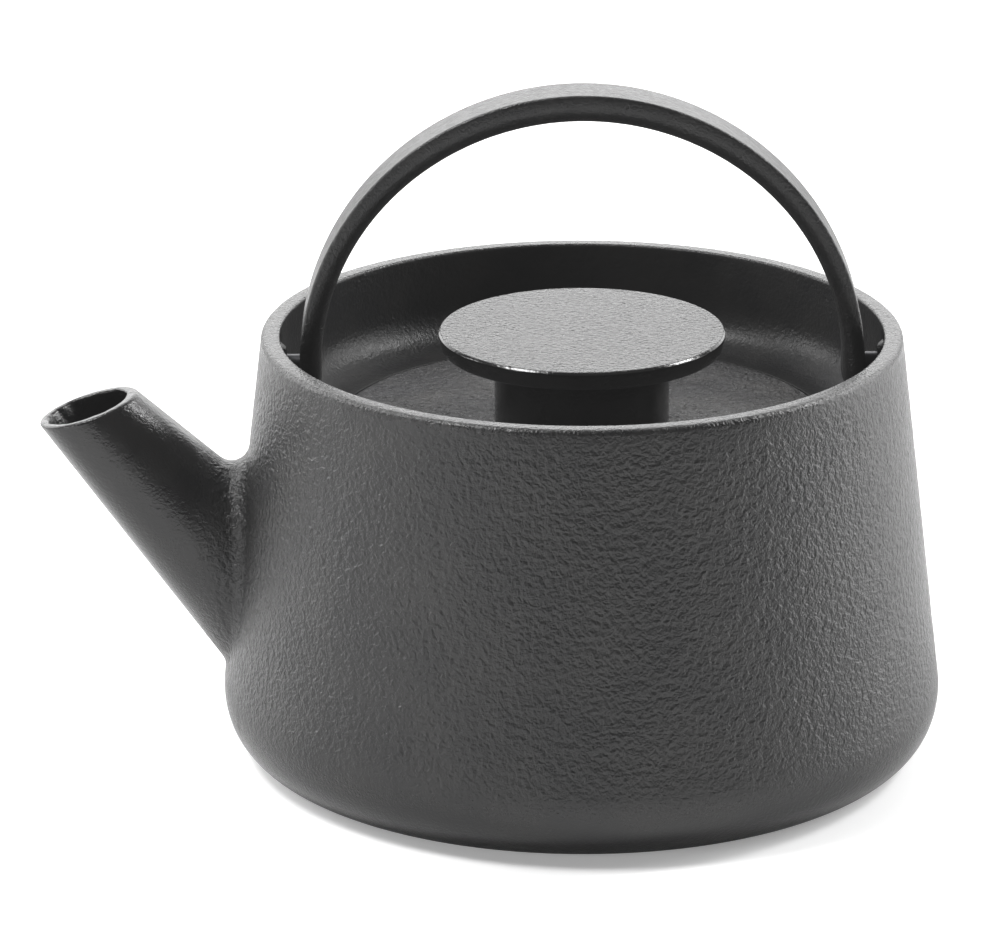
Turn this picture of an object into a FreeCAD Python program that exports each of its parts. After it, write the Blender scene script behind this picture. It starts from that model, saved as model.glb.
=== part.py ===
import FreeCAD, Part
import math
import os

# A round cast iron teapot. Its side leans inward from a softly rounded base up to a deep rim.
# The lid lies at the bottom of the rim's recess and its disc knob stands level with the rim. The arched
# strap handle is pinned just below the rim, so that it folds down flat inside the recess on either side.
# Millimetres. The origin is the middle of the base on the table, +Z is up and the spout points to -X.

# Pot
RIM_HEIGHT = 93.5
RIM_RADIUS = 68.8
SIDE_LEAN = math.radians(6.6)
LIP_WIDTH = 4.0
LIP_OUTER_ROUND = 1.3
LIP_INNER_ROUND = 0.7
BASE_RADIUS = 65.8
BASE_CORNER_HEIGHT = 16.3
WALL = 3.9
FLOOR = 4.5
FLOOR_CORNER_ROUND = 11.0

# Recess, lid seat and neck, from the rim down
LEDGE_HEIGHT = 73.0
RECESS_FOOT_RADIUS = 64.1
RECESS_ROUND = 9.0
LID_SEAT_RADIUS = 53.0
LID_SEAT_HEIGHT = 69.6
COLLAR_SEAT_RADIUS = 48.8
COLLAR_SEAT_HEIGHT = 69.0
NECK_RADIUS = 45.6
SHELF_UNDERSIDE = 65.6
SHELF_ROUND = 8.0
SEAT_EDGE_ROUND = 0.4

# Spout, a cone that widens towards the pot
SPOUT_MOUTH_REACH = 107.0
SPOUT_MOUTH_HEIGHT = 76.7
SPOUT_RISE = math.radians(47.3)
SPOUT_TAPER = math.radians(6.5)
SPOUT_MOUTH_RADIUS = 10.0
SPOUT_MOUTH_WALL = 2.0
SPOUT_MOUTH_TILT = math.radians(17.8)
SPOUT_BORE_TAPER = math.radians(5.2)
SPOUT_LENGTH = 66.0
SPOUT_STOCK = 12.0
SPOUT_ROOT_FILLET = 4.0
SPOUT_LIP_ROUND = 0.6

# Handle, a flat strap bent to a half circle
PIVOT_HEIGHT = 86.5
HANDLE_RADIUS = 60.6
HANDLE_WIDTH = 12.0
HANDLE_CROWN_THICKNESS = 6.2
HANDLE_END_THICKNESS = 4.7
HANDLE_INNER_ROUND = 1.9
HANDLE_OUTER_ROUND = 0.45

# Plain handle pins, pressed into the strap's ends and turning in the pot's wall
PIN_RADIUS = 2.0
PIN_END_ROUND = 0.4
PIN_RUNNING_GAP = 0.05
PIN_HOLE_DEPTH = 4.0
PIN_END_GAP = 0.4
PAD_RADIUS = 5.0
PAD_FACE = 63.4

# Lid
LID_RADIUS = 52.6
LID_EDGE_ROUND = 0.35
LID_SKIRT_ROUND = 0.7
LID_SKIRT_RADIUS = 42.6
LID_SKIRT_WIDTH = 3.0
LID_SKIRT_DEPTH = 3.0
VENT_RADIUS = 1.5
VENT_OFFSET = 34.0

# Knob, a disc on a hollow stem
KNOB_TOP = 93.8
KNOB_RADIUS = 30.9
KNOB_UNDER_RADIUS = 30.0
KNOB_THICKNESS = 4.3
KNOB_EDGE_ROUND = 0.9
STEM_RADIUS = 18.8
STEM_WALL = 4.0
STEM_ROUND = 1.2
STEM_CORE_TOP = 86.0
SCREW_BOSS_RADIUS = 6.5

# Knob screw and its washer, under the lid
SCREW_RADIUS = 2.95
SCREW_HOLE_RADIUS = 3.0
SCREW_CLEARANCE_RADIUS = 3.3
SCREW_TIP_HEIGHT = 83.0
SCREW_TIP_CHAMFER = 0.8
SCREW_HEAD_RADIUS = 5.5
SCREW_HEAD_HEIGHT = 2.6
SCREW_HEAD_ROUND = 1.4
SCREW_SLOT_WIDTH = 1.2
SCREW_SLOT_DEPTH = 1.3
WASHER_RADIUS = 7.0
WASHER_THICKNESS = 1.0
WASHER_EDGE_ROUND = 0.2

# Infuser basket of thin stainless sheet, hanging in the neck
SHEET = 0.5
COLLAR_RADIUS = 48.4
COLLAR_TUBE_RADIUS = 44.8
COLLAR_BOTTOM = 60.0
COLLAR_BEND_ROUND = 0.9
SLEEVE_GAP = 0.05
SLEEVE_TOP = 66.0
SLEEVE_BOTTOM = 22.0
SLEEVE_ROWS = 8
SLEEVE_HOLES_PER_ROW = 48
SLEEVE_HOLE_RADIUS = 0.9
SLEEVE_HOLE_PITCH = 3.8
CUP_RIM_HEIGHT = 6.0
CUP_CORNER_ROUND = 2.0
CUP_RING_PITCH = 5.2
CUP_RINGS = 7
CUP_HOLE_RADIUS = 1.0

UP = FreeCAD.Vector(0, 0, 1)
ORIGIN = FreeCAD.Vector(0, 0, 0)
BEZIER_ROUNDNESS = 0.55
DRILL_OVERLAP = 1.0


def side_radius(height):
    """Radius of the pot's leaning side at a height."""
    return RIM_RADIUS + (RIM_HEIGHT - height) * math.tan(SIDE_LEAN)


def in_section(r, z):
    """A point of the r-z half plane, drawn in the plane y = 0."""
    return FreeCAD.Vector(r, 0, z)


def corner_curve(here, into, out, size):
    """The curve that replaces a sharp corner: a round of one radius, or an easing over two lengths."""
    if len(size) == 2:
        start = here - into * size[0]
        end = here + out * size[1]
        curve = Part.BezierCurve()
        curve.setPoles([start, start + into * size[0] * BEZIER_ROUNDNESS,
                        end - out * size[1] * BEZIER_ROUNDNESS, end])
        return start, end, curve
    half_turn = into.getAngle(out) / 2
    setback = size[0] * math.tan(half_turn)
    start = here - into * setback
    end = here + out * setback
    inward = (out - into).normalize()
    middle = here + inward * (size[0] / math.cos(half_turn) - size[0])
    return start, end, Part.Arc(start, middle, end)


def outline(corners):
    """A closed wire. A corner is (r, z), (r, z, radius) or (r, z, length before, length after)."""
    points = [in_section(corner[0], corner[1]) for corner in corners]
    starts, ends, curves = [], [], []
    for index, corner in enumerate(corners):
        here = points[index]
        start, end, curve = here, here, None
        if len(corner) > 2:
            into = (here - points[index - 1]).normalize()
            out = (points[(index + 1) % len(points)] - here).normalize()
            start, end, curve = corner_curve(here, into, out, corner[2:])
        starts.append(start)
        ends.append(end)
        curves.append(curve)
    edges = []
    for index, curve in enumerate(curves):
        if curve is not None:
            edges.append(curve.toShape())
        following = starts[(index + 1) % len(starts)]
        if (following - ends[index]).Length > 1e-6:
            edges.append(Part.LineSegment(ends[index], following).toShape())
    return Part.Wire(edges)


def spun(corners):
    """The solid made by turning an outline about the pot's axis."""
    return Part.Face(outline(corners)).revolve(ORIGIN, UP, 360)


def solid_of(shape):
    """The single solid inside a boolean's result."""
    solid = shape.Solids[0] if shape.Solids else shape
    return solid.removeSplitter()


def pot_outside():
    """The pot's outer form without its spout, filled solid."""
    corner_radius = side_radius(0)
    slope_length = BASE_CORNER_HEIGHT / math.cos(SIDE_LEAN)
    return spun([
        (0, 0),
        (corner_radius, 0, corner_radius - BASE_RADIUS, slope_length),
        (RIM_RADIUS, RIM_HEIGHT, LIP_OUTER_ROUND),
        (0, RIM_HEIGHT),
    ])


def pot_inside():
    """The recess, the lid and collar seats, the neck and the tea space, as one solid to cut away."""
    above_rim = RIM_HEIGHT + LIP_INNER_ROUND
    rim_inner = RIM_RADIUS - LIP_WIDTH
    recess = spun([
        (0, LEDGE_HEIGHT - 1),
        (LID_SEAT_RADIUS, LEDGE_HEIGHT - 1),
        (LID_SEAT_RADIUS, LEDGE_HEIGHT, SEAT_EDGE_ROUND),
        (RECESS_FOOT_RADIUS, LEDGE_HEIGHT, RECESS_ROUND),
        (rim_inner, RIM_HEIGHT, LIP_INNER_ROUND),
        (rim_inner + 2 * LIP_INNER_ROUND, RIM_HEIGHT),
        (rim_inner + 2 * LIP_INNER_ROUND, above_rim),
        (0, above_rim),
    ])
    seats_and_tea_space = spun([
        (0, FLOOR),
        (side_radius(FLOOR) - WALL, FLOOR, FLOOR_CORNER_ROUND),
        (side_radius(SHELF_UNDERSIDE) - WALL, SHELF_UNDERSIDE, SHELF_ROUND),
        (NECK_RADIUS, SHELF_UNDERSIDE, SEAT_EDGE_ROUND),
        (NECK_RADIUS, COLLAR_SEAT_HEIGHT),
        (COLLAR_SEAT_RADIUS, COLLAR_SEAT_HEIGHT),
        (COLLAR_SEAT_RADIUS, LID_SEAT_HEIGHT),
        (LID_SEAT_RADIUS, LID_SEAT_HEIGHT),
        (LID_SEAT_RADIUS, LEDGE_HEIGHT - 1),
        (0, LEDGE_HEIGHT - 1),
    ])
    return recess.fuse(seats_and_tea_space).removeSplitter()


def spout_cone(mouth_radius, taper):
    """A cone along the spout, widening towards the pot and running on beyond the mouth."""
    outward = FreeCAD.Vector(-math.cos(SPOUT_RISE), 0, math.sin(SPOUT_RISE))
    mouth = in_section(-SPOUT_MOUTH_REACH, SPOUT_MOUTH_HEIGHT)
    widen = math.tan(taper)
    return Part.makeCone(mouth_radius + SPOUT_LENGTH * widen, mouth_radius - SPOUT_STOCK * widen,
                         SPOUT_LENGTH + SPOUT_STOCK, mouth - outward * SPOUT_LENGTH, outward)


def above_mouth():
    """Everything beyond the spout's mouth, which is cut at a slant that rises towards the pot."""
    reach = 3 * SPOUT_MOUTH_RADIUS
    block = Part.makeBox(2 * reach, 2 * reach, reach, FreeCAD.Vector(-reach, -reach, 0))
    block.rotate(ORIGIN, FreeCAD.Vector(0, 1, 0), -math.degrees(SPOUT_MOUTH_TILT))
    block.translate(in_section(-SPOUT_MOUTH_REACH, SPOUT_MOUTH_HEIGHT))
    return block


def pad(side):
    """A flat round pad on the recess wall for a handle pin, on the side x < 0 or x > 0."""
    length = RIM_RADIUS - PAD_FACE
    return Part.makeCylinder(PAD_RADIUS, length, FreeCAD.Vector(side * PAD_FACE, 0, PIVOT_HEIGHT),
                             FreeCAD.Vector(side, 0, 0))


def pin_hole(side):
    """The blind hole that a handle pin turns in."""
    start = FreeCAD.Vector(side * (PAD_FACE - DRILL_OVERLAP), 0, PIVOT_HEIGHT)
    return Part.makeCylinder(PIN_RADIUS + PIN_RUNNING_GAP, PIN_HOLE_DEPTH + DRILL_OVERLAP, start,
                             FreeCAD.Vector(side, 0, 0))


def edges_near(shape, is_wanted):
    """The edges whose middle point is wanted."""
    chosen = []
    for edge in shape.Edges:
        middle = edge.valueAt((edge.FirstParameter + edge.LastParameter) / 2)
        if is_wanted(edge, middle):
            chosen.append(edge)
    return chosen


def make_pot_body():
    pot = pot_outside()
    spout = spout_cone(SPOUT_MOUTH_RADIUS, SPOUT_TAPER).cut(above_mouth())
    pot = solid_of(pot.fuse(spout))
    mouth_end = -SPOUT_MOUTH_REACH + 1.5 * SPOUT_MOUTH_RADIUS
    mouth_low = SPOUT_MOUTH_HEIGHT - SPOUT_MOUTH_RADIUS
    root = edges_near(pot, lambda edge, middle: mouth_end < middle.x < 0
                      and min(edge.BoundBox.YLength, edge.BoundBox.ZLength) > 1)
    pot = pot.makeFillet(SPOUT_ROOT_FILLET, root)
    inside = pot_inside()
    for side in (-1, 1):
        inside = inside.cut(pad(side))
    pot = pot.cut(inside)
    pot = pot.cut(spout_cone(SPOUT_MOUTH_RADIUS - SPOUT_MOUTH_WALL, SPOUT_BORE_TAPER))
    for side in (-1, 1):
        pot = pot.cut(pin_hole(side))
    pot = solid_of(pot)
    lip = edges_near(pot, lambda edge, middle: edge.BoundBox.XMax < mouth_end
                     and edge.BoundBox.ZMin > mouth_low)
    return solid_of(pot.makeFillet(SPOUT_LIP_ROUND, lip))


def strap_rim(strap, on_outer_face):
    """The curved edges all round the strap's outer face, or all round its inner face."""
    mid_thickness = HANDLE_RADIUS - HANDLE_END_THICKNESS / 2

    def is_wanted(edge, middle):
        from_pivot = math.hypot(middle.x, max(middle.z - PIVOT_HEIGHT, 0))
        is_on_outer_face = abs(from_pivot - HANDLE_RADIUS) < 0.05
        is_on_inner_face = from_pivot < mid_thickness
        is_curved = edge.Curve.TypeId != "Part::GeomLine"
        return is_curved and (is_on_outer_face if on_outer_face else is_on_inner_face)

    return edges_near(strap, is_wanted)


def make_handle():
    """The strap: a half circle outside, a slightly flatter ellipse inside, and straight rounded ends."""
    half_width = HANDLE_WIDTH / 2
    inner_reach = HANDLE_RADIUS - HANDLE_END_THICKNESS
    inner_rise = HANDLE_RADIUS - HANDLE_CROWN_THICKNESS
    centre = in_section(0, PIVOT_HEIGHT)
    outer = Part.Arc(centre + in_section(HANDLE_RADIUS, 0), centre + in_section(0, HANDLE_RADIUS),
                     centre - in_section(HANDLE_RADIUS, 0)).toShape()
    inner_ellipse = Part.Ellipse(centre + in_section(inner_reach, 0),
                                 centre + in_section(0, inner_rise), centre)
    inner = Part.Arc(inner_ellipse, 0, math.pi).toShape()
    low = PIVOT_HEIGHT - half_width
    edges = [outer, inner]
    for side in (-1, 1):
        outer_foot = in_section(side * HANDLE_RADIUS, low)
        inner_foot = in_section(side * inner_reach, low)
        edges.append(Part.LineSegment(in_section(side * HANDLE_RADIUS, PIVOT_HEIGHT), outer_foot).toShape())
        edges.append(Part.LineSegment(outer_foot, inner_foot).toShape())
        edges.append(Part.LineSegment(inner_foot, in_section(side * inner_reach, PIVOT_HEIGHT)).toShape())
    wire = Part.Wire(Part.__sortEdges__(edges))
    strap = Part.Face(wire).extrude(FreeCAD.Vector(0, HANDLE_WIDTH, 0))
    strap.translate(FreeCAD.Vector(0, -half_width, 0))
    across = 2 * HANDLE_RADIUS + 2
    round_ends = Part.makeCylinder(half_width, across, FreeCAD.Vector(-across / 2, 0, PIVOT_HEIGHT),
                                   FreeCAD.Vector(1, 0, 0))
    above = Part.makeBox(across, HANDLE_WIDTH, across,
                         FreeCAD.Vector(-across / 2, -half_width, PIVOT_HEIGHT))
    strap = solid_of(strap.common(round_ends.fuse(above)))
    for on_outer_face, radius in ((False, HANDLE_INNER_ROUND), (True, HANDLE_OUTER_ROUND)):
        strap = strap.makeFillet(radius, strap_rim(strap, on_outer_face))
    for side in (-1, 1):
        strap = strap.cut(Part.makeCylinder(PIN_RADIUS, across / 2, centre, FreeCAD.Vector(side, 0, 0)))
    return solid_of(strap)


def make_handle_pin(side):
    """A plain pin, flush with the strap's inner face, on the side x < 0 or x > 0."""
    tip = PAD_FACE + PIN_HOLE_DEPTH - PIN_END_GAP
    strap_face = HANDLE_RADIUS - HANDLE_END_THICKNESS
    pin = spun([
        (0, strap_face),
        (PIN_RADIUS, strap_face, PIN_END_ROUND),
        (PIN_RADIUS, tip, PIN_END_ROUND),
        (0, tip),
    ])
    pin.rotate(ORIGIN, FreeCAD.Vector(0, 1, 0), side * 90)
    pin.translate(in_section(0, PIVOT_HEIGHT))
    return pin


def make_lid_plate():
    """A flat disc with a low ring below it that centres it in the neck."""
    underside = LID_SEAT_HEIGHT
    plate = spun([
        (SCREW_CLEARANCE_RADIUS, LEDGE_HEIGHT),
        (LID_RADIUS, LEDGE_HEIGHT, LID_EDGE_ROUND),
        (LID_RADIUS, underside, LID_EDGE_ROUND),
        (LID_SKIRT_RADIUS, underside),
        (LID_SKIRT_RADIUS, underside - LID_SKIRT_DEPTH, LID_SKIRT_ROUND),
        (LID_SKIRT_RADIUS - LID_SKIRT_WIDTH, underside - LID_SKIRT_DEPTH, LID_SKIRT_ROUND),
        (LID_SKIRT_RADIUS - LID_SKIRT_WIDTH, underside, LID_SKIRT_WIDTH / 2),
        (SCREW_CLEARANCE_RADIUS, underside),
    ])
    vent = Part.makeCylinder(VENT_RADIUS, LEDGE_HEIGHT - underside + 2 * DRILL_OVERLAP,
                             FreeCAD.Vector(0, VENT_OFFSET, underside - DRILL_OVERLAP))
    return solid_of(plate.cut(vent))


def make_lid_knob():
    """A disc with softly rounded edges on a stem that is cored out around its screw boss."""
    disc_underside = KNOB_TOP - KNOB_THICKNESS
    core_radius = STEM_RADIUS - STEM_WALL
    return spun([
        (0, KNOB_TOP),
        (KNOB_RADIUS, KNOB_TOP, KNOB_EDGE_ROUND),
        (KNOB_UNDER_RADIUS, disc_underside, KNOB_EDGE_ROUND),
        (STEM_RADIUS, disc_underside, STEM_ROUND),
        (STEM_RADIUS, LEDGE_HEIGHT, SEAT_EDGE_ROUND),
        (core_radius, LEDGE_HEIGHT),
        (core_radius, STEM_CORE_TOP, STEM_ROUND),
        (SCREW_BOSS_RADIUS, STEM_CORE_TOP, STEM_ROUND),
        (SCREW_BOSS_RADIUS, LEDGE_HEIGHT),
        (SCREW_HOLE_RADIUS, LEDGE_HEIGHT),
        (SCREW_HOLE_RADIUS, SCREW_TIP_HEIGHT + 1),
        (0, SCREW_TIP_HEIGHT + 1 + SCREW_HOLE_RADIUS / math.sqrt(3)),
    ])


def make_knob_washer():
    return spun([
        (SCREW_CLEARANCE_RADIUS, LID_SEAT_HEIGHT),
        (WASHER_RADIUS, LID_SEAT_HEIGHT, WASHER_EDGE_ROUND),
        (WASHER_RADIUS, LID_SEAT_HEIGHT - WASHER_THICKNESS, WASHER_EDGE_ROUND),
        (SCREW_CLEARANCE_RADIUS, LID_SEAT_HEIGHT - WASHER_THICKNESS),
    ])


def make_knob_screw():
    """A pan head screw with a straight slot, from below the lid up into the knob's boss."""
    head_face = LID_SEAT_HEIGHT - WASHER_THICKNESS
    head_bottom = head_face - SCREW_HEAD_HEIGHT
    screw = spun([
        (0, SCREW_TIP_HEIGHT),
        (SCREW_RADIUS - SCREW_TIP_CHAMFER, SCREW_TIP_HEIGHT),
        (SCREW_RADIUS, SCREW_TIP_HEIGHT - SCREW_TIP_CHAMFER),
        (SCREW_RADIUS, head_face),
        (SCREW_HEAD_RADIUS, head_face),
        (SCREW_HEAD_RADIUS, head_bottom, SCREW_HEAD_ROUND),
        (0, head_bottom),
    ])
    slot_reach = SCREW_HEAD_RADIUS + DRILL_OVERLAP
    slot_start = FreeCAD.Vector(-slot_reach, -SCREW_SLOT_WIDTH / 2, head_bottom - DRILL_OVERLAP)
    slot = Part.makeBox(2 * slot_reach, SCREW_SLOT_WIDTH, SCREW_SLOT_DEPTH + DRILL_OVERLAP, slot_start)
    return solid_of(screw.cut(slot))


def make_infuser_collar():
    """A pressed ring: a flange that lies in the neck's step and a short tube below it."""
    top = COLLAR_SEAT_HEIGHT + SHEET
    inner = COLLAR_TUBE_RADIUS - SHEET
    return spun([
        (inner, COLLAR_BOTTOM),
        (COLLAR_TUBE_RADIUS, COLLAR_BOTTOM),
        (COLLAR_TUBE_RADIUS, COLLAR_SEAT_HEIGHT, COLLAR_BEND_ROUND - SHEET),
        (COLLAR_RADIUS, COLLAR_SEAT_HEIGHT),
        (COLLAR_RADIUS, top),
        (inner, top, COLLAR_BEND_ROUND),
    ])


def sleeve_outer_radius():
    return COLLAR_TUBE_RADIUS - SHEET - SLEEVE_GAP


def make_infuser_sleeve():
    """A tube with staggered rows of small round holes."""
    outer = sleeve_outer_radius()
    tube = spun([
        (outer - SHEET, SLEEVE_BOTTOM),
        (outer, SLEEVE_BOTTOM),
        (outer, SLEEVE_TOP),
        (outer - SHEET, SLEEVE_TOP),
    ])
    step = 2 * math.pi / SLEEVE_HOLES_PER_ROW
    first_row = SLEEVE_BOTTOM + CUP_RIM_HEIGHT + 2
    drills = []
    for row in range(SLEEVE_ROWS):
        for index in range(SLEEVE_HOLES_PER_ROW):
            angle = (index + 0.5 * (row % 2)) * step
            direction = FreeCAD.Vector(math.cos(angle), math.sin(angle), 0)
            start = direction * (outer - SHEET - DRILL_OVERLAP) + UP * (first_row + row * SLEEVE_HOLE_PITCH)
            drills.append(Part.makeCylinder(SLEEVE_HOLE_RADIUS, SHEET + 2 * DRILL_OVERLAP, start, direction))
    return solid_of(tube.cut(Part.makeCompound(drills)))


def make_infuser_cup():
    """The basket's bottom: a shallow pressed cup with rings of holes, inside the sleeve's lower end."""
    outer = sleeve_outer_radius() - SHEET - SLEEVE_GAP
    rim_top = SLEEVE_BOTTOM + CUP_RIM_HEIGHT
    cup = spun([
        (0, SLEEVE_BOTTOM),
        (outer, SLEEVE_BOTTOM, CUP_CORNER_ROUND),
        (outer, rim_top),
        (outer - SHEET, rim_top),
        (outer - SHEET, SLEEVE_BOTTOM + SHEET, CUP_CORNER_ROUND - SHEET),
        (0, SLEEVE_BOTTOM + SHEET),
    ])
    depth = SHEET + 2 * DRILL_OVERLAP
    below = UP * (SLEEVE_BOTTOM - DRILL_OVERLAP)
    drills = [Part.makeCylinder(CUP_HOLE_RADIUS, depth, below)]
    for ring in range(1, CUP_RINGS + 1):
        count = 6 * ring
        for index in range(count):
            angle = 2 * math.pi * index / count
            place = FreeCAD.Vector(math.cos(angle), math.sin(angle), 0) * (ring * CUP_RING_PITCH)
            drills.append(Part.makeCylinder(CUP_HOLE_RADIUS, depth, place + below))
    return solid_of(cup.cut(Part.makeCompound(drills)))


def main():
    pieces = {
        "pot_body": make_pot_body(),
        "handle": make_handle(),
        "handle_pin_spout_side": make_handle_pin(-1),
        "handle_pin_rear": make_handle_pin(1),
        "lid_plate": make_lid_plate(),
        "lid_knob": make_lid_knob(),
        "knob_washer": make_knob_washer(),
        "knob_screw": make_knob_screw(),
        "infuser_collar": make_infuser_collar(),
        "infuser_sleeve": make_infuser_sleeve(),
        "infuser_cup": make_infuser_cup(),
    }
    os.makedirs("parts", exist_ok=True)
    for name, shape in pieces.items():
        shape.exportStep(os.path.join("parts", name + ".step"))
        print(name, shape.ShapeType, shape.isValid(), round(shape.Volume), "mm3", len(shape.Faces), "faces")


main()
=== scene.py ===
import math

import bmesh
import bpy
import numpy as np
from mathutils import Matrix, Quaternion, Vector, noise


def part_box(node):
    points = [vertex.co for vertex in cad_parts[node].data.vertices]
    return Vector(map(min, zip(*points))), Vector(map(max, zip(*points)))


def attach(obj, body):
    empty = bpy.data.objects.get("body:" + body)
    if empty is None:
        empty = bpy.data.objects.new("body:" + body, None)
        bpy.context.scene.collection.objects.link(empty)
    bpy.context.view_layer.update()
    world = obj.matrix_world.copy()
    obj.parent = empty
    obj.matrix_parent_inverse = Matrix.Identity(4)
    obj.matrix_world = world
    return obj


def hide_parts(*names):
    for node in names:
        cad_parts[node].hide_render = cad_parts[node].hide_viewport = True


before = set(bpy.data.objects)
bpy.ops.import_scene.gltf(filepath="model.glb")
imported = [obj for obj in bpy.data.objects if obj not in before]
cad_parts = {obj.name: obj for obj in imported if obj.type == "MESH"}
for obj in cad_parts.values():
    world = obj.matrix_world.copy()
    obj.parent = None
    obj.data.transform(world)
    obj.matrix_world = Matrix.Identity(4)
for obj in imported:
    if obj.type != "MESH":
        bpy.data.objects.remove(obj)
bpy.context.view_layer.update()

# A cast iron teapot. Sections are drawn in millimetres as (radius, height) points and scaled to metres when
# a mesh is made. The castings get dense meshes with a real cast skin; steel parts keep their CAD meshes.
MM = 0.001


def box_mm(node):
    """Lowest and highest corner of a CAD node, in millimetres."""
    low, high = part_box(node)
    return [v / MM for v in low], [v / MM for v in high]


# ---- Driving dimensions, from the frame where a node's box gives them ----

HANDLE_LOW, HANDLE_HIGH = box_mm("handle")
LID_LOW, LID_HIGH = box_mm("lid_plate")

RIM_HEIGHT = box_mm("pot_body")[1][2]
SIDE_LEAN = math.radians(6.6)
RIM_RADIUS = 68.8
LIP_WIDTH = 4.0
LIP_OUTER_ROUND = 1.3
LIP_INNER_ROUND = 0.7
BASE_RADIUS = 65.8
BASE_CORNER_HEIGHT = 16.3
WALL = 3.9
FLOOR = 4.5
FLOOR_CORNER_ROUND = 11.0

LEDGE_HEIGHT = LID_HIGH[2]
RECESS_FOOT_RADIUS = 64.1
RECESS_ROUND = 9.0
LID_RADIUS = LID_HIGH[0]
SEAT_CLEARANCE = 0.4
LID_SEAT_RADIUS = LID_RADIUS + SEAT_CLEARANCE
LID_THICKNESS = 3.4
LID_SEAT_HEIGHT = LEDGE_HEIGHT - LID_THICKNESS
COLLAR_SEAT_RADIUS = box_mm("infuser_collar")[1][0] + SEAT_CLEARANCE
COLLAR_SEAT_DEPTH = 0.6
COLLAR_SEAT_HEIGHT = LID_SEAT_HEIGHT - COLLAR_SEAT_DEPTH
NECK_RADIUS = 45.6
SHELF_UNDERSIDE = 65.6
SHELF_ROUND = 8.0
SEAT_EDGE_ROUND = 0.15

SPOUT_MOUTH_REACH = 107.0
SPOUT_MOUTH_HEIGHT = 76.7
SPOUT_RISE = math.radians(47.3)
SPOUT_TAPER = math.radians(6.5)
SPOUT_MOUTH_RADIUS = 10.0
SPOUT_MOUTH_WALL = 2.0
SPOUT_MOUTH_TILT = math.radians(17.8)
SPOUT_BORE_TAPER = math.radians(5.2)
SPOUT_ROOT_FILLET = 4.0
SPOUT_LIP_ROUND = 0.75
SPOUT_LIP_NICKS = 0.5

HANDLE_RADIUS = HANDLE_HIGH[0]
HANDLE_WIDTH = HANDLE_HIGH[1] - HANDLE_LOW[1]
PIVOT_HEIGHT = HANDLE_HIGH[2] - HANDLE_RADIUS
HANDLE_CROWN_THICKNESS = 6.2
HANDLE_END_THICKNESS = 4.7
HANDLE_INNER_ROUND = 3.0
HANDLE_OUTER_ROUND = 0.5
HANDLE_SIDE_BULGE = 0.35
PAD_RADIUS = 3.4
PAD_FOOT_RADIUS = 4.6
PAD_DEPTH = 1.3
PAD_ROUND = 0.8
PAD_FACE = 63.4

LID_SKIRT_RADIUS = 42.6
LID_SKIRT_WIDTH = 3.0
LID_EDGE_ROUND = 0.2
LID_SKIRT_ROUND = 0.7
SCREW_CLEARANCE_RADIUS = 3.3
VENT_RADIUS = 1.5
VENT_OFFSET = 34.0

KNOB_TOP = box_mm("lid_knob")[1][2]
KNOB_RADIUS = 30.9
KNOB_UNDER_RADIUS = 30.0
KNOB_THICKNESS = 4.3
KNOB_BEVEL = 0.55
KNOB_BEVEL_ROUND = 0.3
KNOB_EDGE_ROUND = 0.9
STEM_RADIUS = 18.8
STEM_WALL = 4.0
STEM_ROUND = 1.2
STEM_CORE_TOP = 86.0
SCREW_BOSS_RADIUS = 6.5
SCREW_HOLE_RADIUS = 3.0
SCREW_HOLE_TOP = 84.0

# ---- Mesh detail ----

ON_FLOOR = 1e-6
ON_AXIS = 1e-6
TEA_WALL_DEPTH = 6.0
COLUMNS = 416
DISC_COLUMNS = 512
PAD_COLUMNS = 64
VENT_COLUMNS = 32
FEWEST_COLUMNS = 16
COLUMN_THINNING = 0.62
INNER_COLUMNS = COLUMNS // 4
INNER_THINNING_RADIUS = NECK_RADIUS * 1.1
FINE_STEP = 1.1
COARSE_STEP = 3.5
TOP_FACE_STEP = 0.7
HIDDEN_STEP = 2.0
PAD_STEP = 0.8
ARC_STEP = math.radians(14)
BEZIER_PULL = 0.55
BEZIER_POINTS = 25
WINDOW_COLUMNS = 21
WINDOW_BOTTOM = 8.5
WINDOW_TOP = 72.0
WINDOW_RINGS = 9
INNER_WINDOW_COLUMNS = 6
INNER_WINDOW_BOTTOM = FLOOR + 1.0
INNER_WINDOW_TOP = SHELF_UNDERSIDE - 0.5
FILLET_RINGS = 7
LIP_RINGS = 5
BORE_RINGS = 26
SPOUT_NEAREST = 8.0
SPOUT_FARTHEST = 75.0
BISECTIONS = 40
STRAP_STATIONS = 250
STRAP_END_TURNS = 28
STRAP_STEP = 0.85
DRILL_MARGIN = 5.0

# ---- Depth and size of the cast skin's relief, and where it fades ----

CAST_SEED = 1
SIDE_RELIEF = 0.075
SMOOTH_RELIEF = 0.015
SPOUT_RELIEF = 0.012
SPOUT_RELIEF_STARTS = -78.0
STRAP_RELIEF = 0.018
LID_RELIEF = 0.05
KNOB_RELIEF = 0.02
SIDE_WAVELENGTH = 3.4
STRAP_WAVELENGTH = 3.0
LID_WAVELENGTH = 2.2
KNOB_WAVELENGTH = 2.4
FOOT_RELIEF_FADE = (10.0, 24.0)
RIM_RELIEF_FADE = (RIM_HEIGHT - 9, RIM_HEIGHT - 1)
SIDE_SKIN_THICKNESS = 1.2
RECESS_SKIN_HEIGHT = LEDGE_HEIGHT - 0.6

# ---- Where the material's wrinkles on the side fade ----

FOOT_FADE = (9.0, 24.0)
RIM_FADE = (RIM_HEIGHT - 7, RIM_HEIGHT - 1)
SPOUT_FADE = (-84.0, -76.0)


def side_radius(height):
    return RIM_RADIUS + (RIM_HEIGHT - height) * math.tan(SIDE_LEAN)


# ---- Sections ----


def unit(v):
    return v / np.linalg.norm(v)


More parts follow.
